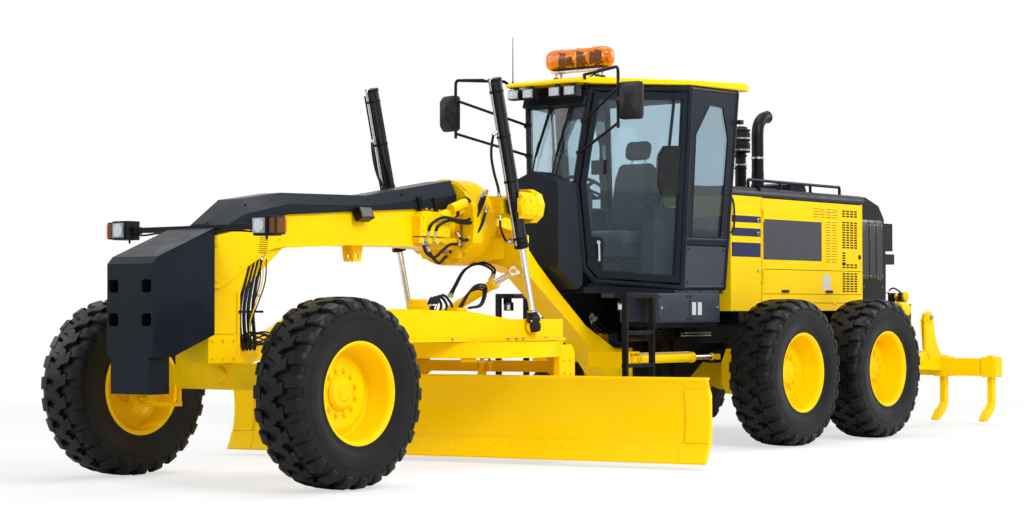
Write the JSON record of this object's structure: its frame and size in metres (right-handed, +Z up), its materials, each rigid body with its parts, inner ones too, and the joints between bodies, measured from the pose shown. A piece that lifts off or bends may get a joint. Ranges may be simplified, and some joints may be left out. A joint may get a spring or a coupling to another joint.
{
  "type": "motor grader",
  "caption": "Articulated motor grader: long front beam with a blade on a turning circle, a glazed cab, an engine hood over tandem rear wheels and a rear ripper.",
  "frame": {"origin": "on the ground under the middle of the machine's box", "axes": "+X to the machine's left, +Y to the rear, +Z up; the front faces -Y"},
  "size_m": [4.2172, 10.796, 3.5],
  "materials": {
    "black_paint": "satin black",
    "black_plastic": "moulded",
    "cast_engine": "painted",
    "chrome_rod": "polished",
    "cutting_steel": "painted steel",
    "dark_paint": "satin slate enamel",
    "glass": "clear",
    "grey_paint": "satin blue-grey enamel",
    "lamp_lens": "clear",
    "seat_fabric": "woven",
    "tyre_rubber": "matt",
    "yellow_paint": "semi-gloss yellow enamel"
  },
  "bodies": {
    "rear_frame": {"rear_frame": "yellow_paint", "tandem_drive": "yellow_paint", "engine": "cast_engine", "hood_shell": "yellow_paint", "hood_top": "black_paint", "radiator_guard": "black_paint", "hood_stacks": "black_paint", "cab_frame": "dark_paint", "cab_glass": "glass", "cab_roof": "yellow_paint", "cab_cowl": "dark_paint", "operator_seat": "seat_fabric", "cab_controls": "black_plastic", "side_boxes_and_steps": "grey_paint", "roof_lights_and_mirrors": "black_paint"},
    "front_frame": {"front_frame": "yellow_paint", "counterweight": "dark_paint", "hose_cover": "dark_paint", "headlamps": "lamp_lens", "front_axle": "yellow_paint"},
    "lean_bracket_left": {"lean_bracket_left": "black_paint"},
    "steering_knuckle_left": {"steering_knuckle_left": "yellow_paint"},
    "frame_cylinder_barrel_left": {"frame_cylinder_barrel_left": "yellow_paint"},
    "frame_cylinder_rod_left": {"frame_cylinder_rod_left": "chrome_rod"},
    "cab_door_left": {"cab_door_left": "dark_paint", "cab_door_glass_left": "glass"},
    "engine_door_left": {"engine_door_left": "yellow_paint"},
    "wheel_front_left": {"rim_front_left": "yellow_paint", "tyre_front_left": "tyre_rubber"},
    "wheel_tandem_front_left": {"rim_tandem_front_left": "yellow_paint", "tyre_tandem_front_left": "tyre_rubber"},
    "wheel_tandem_rear_left": {"rim_tandem_rear_left": "yellow_paint", "tyre_tandem_rear_left": "tyre_rubber"},
    "lean_bracket_right": {"lean_bracket_right": "black_paint"},
    "steering_knuckle_right": {"steering_knuckle_right": "yellow_paint"},
    "frame_cylinder_barrel_right": {"frame_cylinder_barrel_right": "yellow_paint"},
    "frame_cylinder_rod_right": {"frame_cylinder_rod_right": "chrome_rod"},
    "cab_door_right": {"cab_door_right": "dark_paint", "cab_door_glass_right": "glass"},
    "engine_door_right": {"engine_door_right": "yellow_paint"},
    "wheel_front_right": {"rim_front_right": "yellow_paint", "tyre_front_right": "tyre_rubber"},
    "wheel_tandem_front_right": {"rim_tandem_front_right": "yellow_paint", "tyre_tandem_front_right": "tyre_rubber"},
    "wheel_tandem_rear_right": {"rim_tandem_rear_right": "yellow_paint", "tyre_tandem_rear_right": "tyre_rubber"},
    "tie_rod": {"tie_rod": "yellow_paint"},
    "lift_barrels": {"lift_barrels": "black_paint"},
    "lift_rods": {"lift_rods": "chrome_rod"},
    "shift_rod": {"shift_rod": "chrome_rod"},
    "shift_barrel": {"shift_barrel": "yellow_paint"},
    "drawbar": {"drawbar": "yellow_paint"},
    "circle": {"circle": "yellow_paint"},
    "blade_bracket": {"blade_bracket": "yellow_paint"},
    "moldboard": {"moldboard": "cutting_steel"},
    "tip_barrel": {"tip_barrel": "yellow_paint"},
    "tip_rod": {"tip_rod": "chrome_rod"},
    "ripper": {"ripper": "yellow_paint"},
    "ripper_barrels": {"ripper_barrels": "yellow_paint"},
    "ripper_rods": {"ripper_rods": "chrome_rod"}
  },
  "joints": [
    {"name": "articulation", "type": "hinge", "parent": "rear_frame", "child": "front_frame", "pos_m": [0, 0.255, 0.645], "axis": [0, 0, -1], "range_deg": [-25, 25]},
    {"name": "frame_cylinder_swing_left", "type": "hinge", "parent": "front_frame", "child": "frame_cylinder_barrel_left", "pos_m": [0.45, -0.225, 0.78], "axis": [0, 0, 1], "range_deg": [-16.7, 16.7]},
    {"name": "frame_cylinder_stroke_left", "type": "slide", "parent": "frame_cylinder_barrel_left", "child": "frame_cylinder_rod_left", "axis": [0, 1, 0], "range_m": [-0.1976, 0.1976]},
    {"name": "frame_cylinder_swing_right", "type": "hinge", "parent": "front_frame", "child": "frame_cylinder_barrel_right", "pos_m": [-0.45, -0.225, 0.78], "axis": [0, 0, 1], "range_deg": [-16.7, 16.7]},
    {"name": "frame_cylinder_stroke_right", "type": "slide", "parent": "frame_cylinder_barrel_right", "child": "frame_cylinder_rod_right", "axis": [0, 1, 0], "range_m": [-0.1976, 0.1976]},
    {"name": "wheel_lean_left", "type": "hinge", "parent": "front_frame", "child": "lean_bracket_left", "pos_m": [0.76, -4.495, 0.645], "axis": [0, 1, 0], "range_deg": [-20, 20]},
    {"name": "wheel_lean_right", "type": "hinge", "parent": "front_frame", "child": "lean_bracket_right", "pos_m": [-0.76, -4.495, 0.645], "axis": [0, 1, 0], "range_deg": [-20, 20]},
    {"name": "steering_left", "type": "hinge", "parent": "lean_bracket_left", "child": "steering_knuckle_left", "pos_m": [0.85, -4.495, 0.645], "axis": [0, 0, 1], "range_deg": [-49, 49]},
    {"name": "steering_right", "type": "hinge", "parent": "lean_bracket_right", "child": "steering_knuckle_right", "pos_m": [-0.85, -4.495, 0.645], "axis": [0, 0, 1], "range_deg": [-49, 49]},
    {"name": "tie_rod_shift", "type": "slide", "parent": "front_frame", "child": "tie_rod", "axis": [-1, 0, 0], "range_m": [-0.19068, 0.19068]},
    {"name": "wheel_front_left_spin", "type": "hinge", "parent": "steering_knuckle_left", "child": "wheel_front_left", "pos_m": [1.063, -4.495, 0.645], "axis": [1, 0, 0], "continuous": true},
    {"name": "wheel_tandem_front_left_spin", "type": "hinge", "parent": "rear_frame", "child": "wheel_tandem_front_left", "pos_m": [1.063, 1.2375, 0.645], "axis": [1, 0, 0], "continuous": true},
    {"name": "wheel_tandem_rear_left_spin", "type": "hinge", "parent": "rear_frame", "child": "wheel_tandem_rear_left", "pos_m": [1.063, 2.7625, 0.645], "axis": [1, 0, 0], "continuous": true},
    {"name": "wheel_front_right_spin", "type": "hinge", "parent": "steering_knuckle_right", "child": "wheel_front_right", "pos_m": [-1.063, -4.495, 0.645], "axis": [1, 0, 0], "continuous": true},
    {"name": "wheel_tandem_front_right_spin", "type": "hinge", "parent": "rear_frame", "child": "wheel_tandem_front_right", "pos_m": [-1.063, 1.2375, 0.645], "axis": [1, 0, 0], "continuous": true},
    {"name": "wheel_tandem_rear_right_spin", "type": "hinge", "parent": "rear_frame", "child": "wheel_tandem_rear_right", "pos_m": [-1.063, 2.7625, 0.645], "axis": [1, 0, 0], "continuous": true},
    {"name": "drawbar_lift", "type": "hinge", "parent": "front_frame", "child": "drawbar", "pos_m": [0, -4.345, 0.88], "axis": [1, 0, 0], "range_deg": [-14, 7]},
    {"name": "lift_cylinder_swing", "type": "hinge", "parent": "front_frame", "child": "lift_barrels", "pos_m": [0, -2.04394, 2], "axis": [1, 0, 0], "range_deg": [-7.26, 3.88]},
    {"name": "lift_cylinder_stroke", "type": "slide", "parent": "lift_barrels", "child": "lift_rods", "axis": [0, 0.2522, -0.9677], "range_m": [-0.30886, 0.61272]},
    {"name": "shift_cylinder_swing", "type": "hinge", "parent": "front_frame", "child": "shift_rod", "pos_m": [0.475, -1.845, 1.502], "axis": [0, -1, 0], "range_deg": [-15.74, 30.98]},
    {"name": "shift_cylinder_stroke", "type": "slide", "parent": "shift_rod", "child": "shift_barrel", "axis": [-0.91, 0, -0.4145], "range_m": [-0.16382, 0.32265]},
    {"name": "circle_turn", "type": "hinge", "parent": "drawbar", "child": "circle", "pos_m": [0, -1.875, 0.9], "axis": [0, 0, 1], "range_deg": [-66.15, 43.85]},
    {"name": "blade_tip", "type": "hinge", "parent": "circle", "child": "blade_bracket", "pos_m": [-0.00774, -1.83576, 0.215], "axis": [0.9811, 0.1934, 0], "range_deg": [-5, 40]},
    {"name": "blade_side_shift", "type": "slide", "parent": "blade_bracket", "child": "moldboard", "axis": [0.9811, 0.1934, 0], "range_m": [-0.8, 0.8]},
    {"name": "tip_cylinder_swing", "type": "hinge", "parent": "circle", "child": "tip_barrel", "pos_m": [-0.05801, -1.58066, 0.745], "axis": [0.9811, 0.1934, 0], "range_deg": [-16.8, 2.54]},
    {"name": "tip_cylinder_stroke", "type": "slide", "parent": "tip_barrel", "child": "tip_rod", "axis": [0.0973, -0.4936, -0.8642], "range_m": [-0.01365, 0.08122]},
    {"name": "ripper_lift", "type": "hinge", "parent": "rear_frame", "child": "ripper", "pos_m": [0, 4.515, 0.64], "axis": [1, 0, 0], "range_deg": [-18, 30]},
    {"name": "ripper_cylinder_swing", "type": "hinge", "parent": "rear_frame", "child": "ripper_barrels", "pos_m": [0, 4.485, 1.32], "axis": [1, 0, 0], "range_deg": [-3.09, 4.82]},
    {"name": "ripper_cylinder_stroke", "type": "slide", "parent": "ripper_barrels", "child": "ripper_rods", "axis": [0, 0.5865, -0.8099], "range_m": [-0.20581, 0.12509]},
    {"name": "cab_door_left_swing", "type": "hinge", "parent": "rear_frame", "child": "cab_door_left", "pos_m": [0.6, 0.29, 1.386], "axis": [0.0587, 0.0006, 0.9983], "range_deg": [0, 75]},
    {"name": "cab_door_right_swing", "type": "hinge", "parent": "rear_frame", "child": "cab_door_right", "pos_m": [-0.6, 0.29, 1.386], "axis": [0.0587, -0.0006, -0.9983], "range_deg": [0, 75]},
    {"name": "engine_door_left_swing", "type": "hinge", "parent": "rear_frame", "child": "engine_door_left", "pos_m": [0.606, 1.626, 1.7], "axis": [0, 0, -1], "range_deg": [0, 110]},
    {"name": "engine_door_right_swing", "type": "hinge", "parent": "rear_frame", "child": "engine_door_right", "pos_m": [-0.606, 1.626, 1.7], "axis": [0, 0, 1], "range_deg": [0, 110]}
  ],
  "couplings": [
    {"joint": "frame_cylinder_swing_left", "follows": "articulation", "ratio": 0.62791},
    {"joint": "frame_cylinder_stroke_left", "follows": "articulation", "m_per_rad": 0.446},
    {"joint": "frame_cylinder_swing_right", "follows": "articulation", "ratio": 0.62791},
    {"joint": "frame_cylinder_stroke_right", "follows": "articulation", "m_per_rad": -0.446},
    {"joint": "wheel_lean_right", "follows": "wheel_lean_left", "ratio": 1},
    {"joint": "steering_right", "follows": "steering_left", "ratio": 1},
    {"joint": "tie_rod_shift", "follows": "steering_left", "m_per_rad": 0.22062},
    {"joint": "lift_cylinder_swing", "follows": "drawbar_lift", "ratio": 0.48288},
    {"joint": "lift_cylinder_stroke", "follows": "drawbar_lift", "m_per_rad": -2.4871},
    {"joint": "shift_cylinder_swing", "follows": "drawbar_lift", "ratio": -2.1768},
    {"joint": "shift_cylinder_stroke", "follows": "drawbar_lift", "m_per_rad": -1.3},
    {"joint": "tip_cylinder_swing", "follows": "blade_tip", "ratio": -0.40749},
    {"joint": "tip_cylinder_stroke", "follows": "blade_tip", "m_per_rad": 0.11061},
    {"joint": "ripper_cylinder_swing", "follows": "ripper_lift", "ratio": 0.1441},
    {"joint": "ripper_cylinder_stroke", "follows": "ripper_lift", "m_per_rad": -0.38544}
  ]
}
